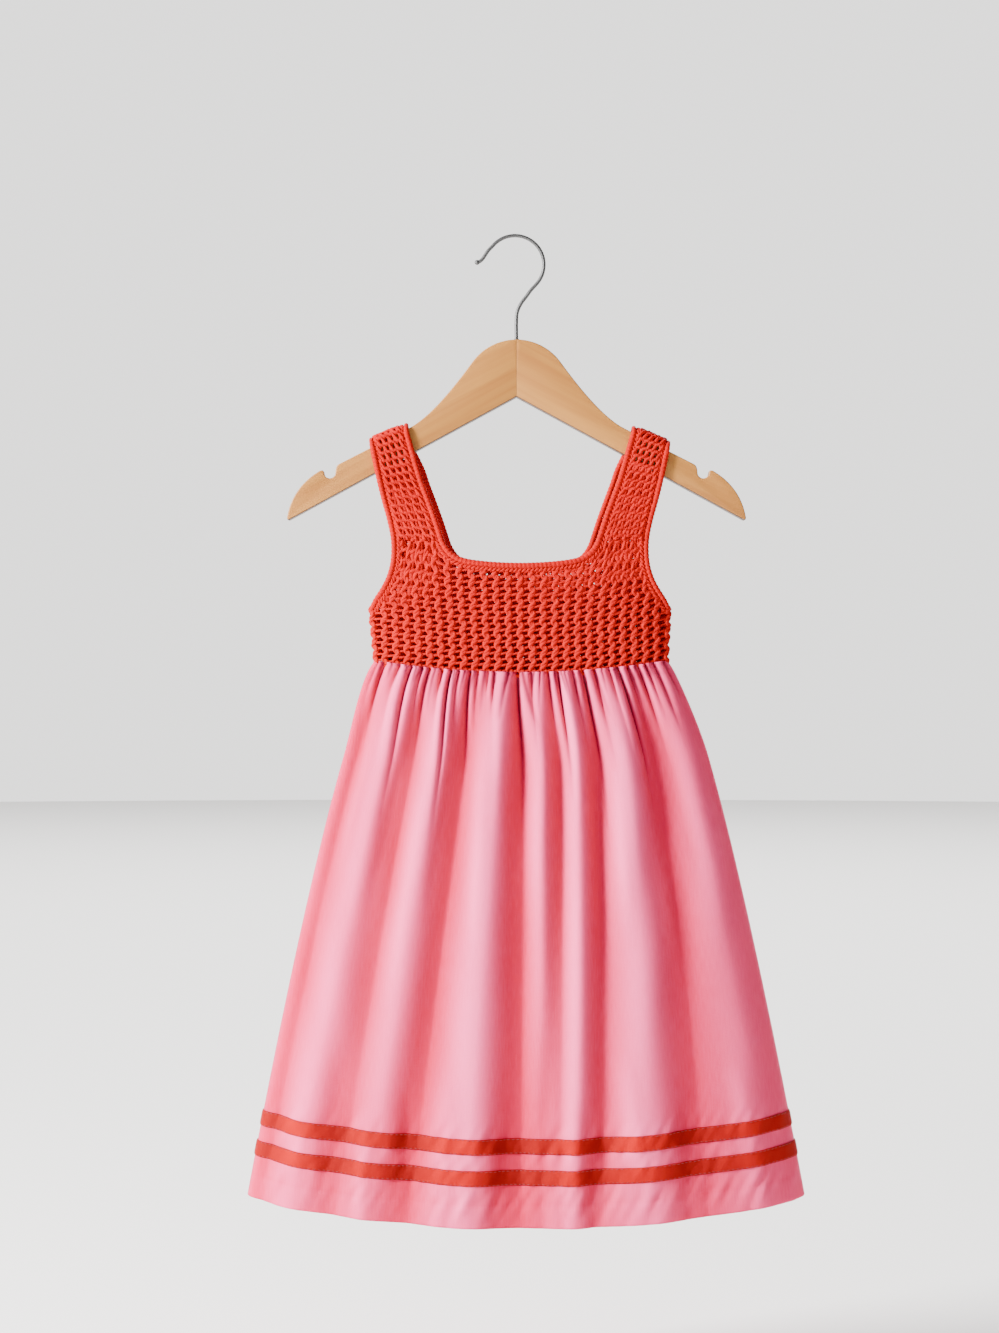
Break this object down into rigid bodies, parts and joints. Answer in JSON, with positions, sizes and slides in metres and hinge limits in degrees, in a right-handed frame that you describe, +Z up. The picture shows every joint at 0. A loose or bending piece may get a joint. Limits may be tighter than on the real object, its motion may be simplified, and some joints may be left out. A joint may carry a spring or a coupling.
{
  "type": "baby dress on a clothes hanger",
  "caption": "Sleeveless baby dress with a crocheted yoke, gathered cotton skirt and banded hem, hung on a wooden clothes hanger.",
  "frame": {"origin": "inside of the hook's crest, where a rail or a cord holds the hanger, in the middle of the hanger's thickness", "axes": "+Z up, +X to the wearer's left (the right side of the front view), -Y out of the dress's front"},
  "size_m": [0.3652, 0.096, 0.6435],
  "materials": {
    "crochet": "crocheted orange-red cotton yarn, matt",
    "skirt": "fine pink cotton with a slight sheen",
    "bands": "orange-red woven cotton, stitched along both edges",
    "wood": "pale beech, clear satin lacquer",
    "steel": "bright drawn wire"
  },
  "bodies": {
    "root": {"yoke_front": "crochet", "yoke_back": "crochet", "strap_left": "crochet", "strap_right": "crochet", "neck_edging": "crochet", "armhole_edging_left": "crochet", "armhole_edging_right": "crochet", "skirt_front": "skirt", "skirt_back": "skirt", "band_upper_front": "bands", "band_upper_back": "bands", "band_lower_front": "bands", "band_lower_back": "bands", "hanger_left": "wood", "hanger_right": "wood", "hook": "steel"}
  },
  "joints": []
}
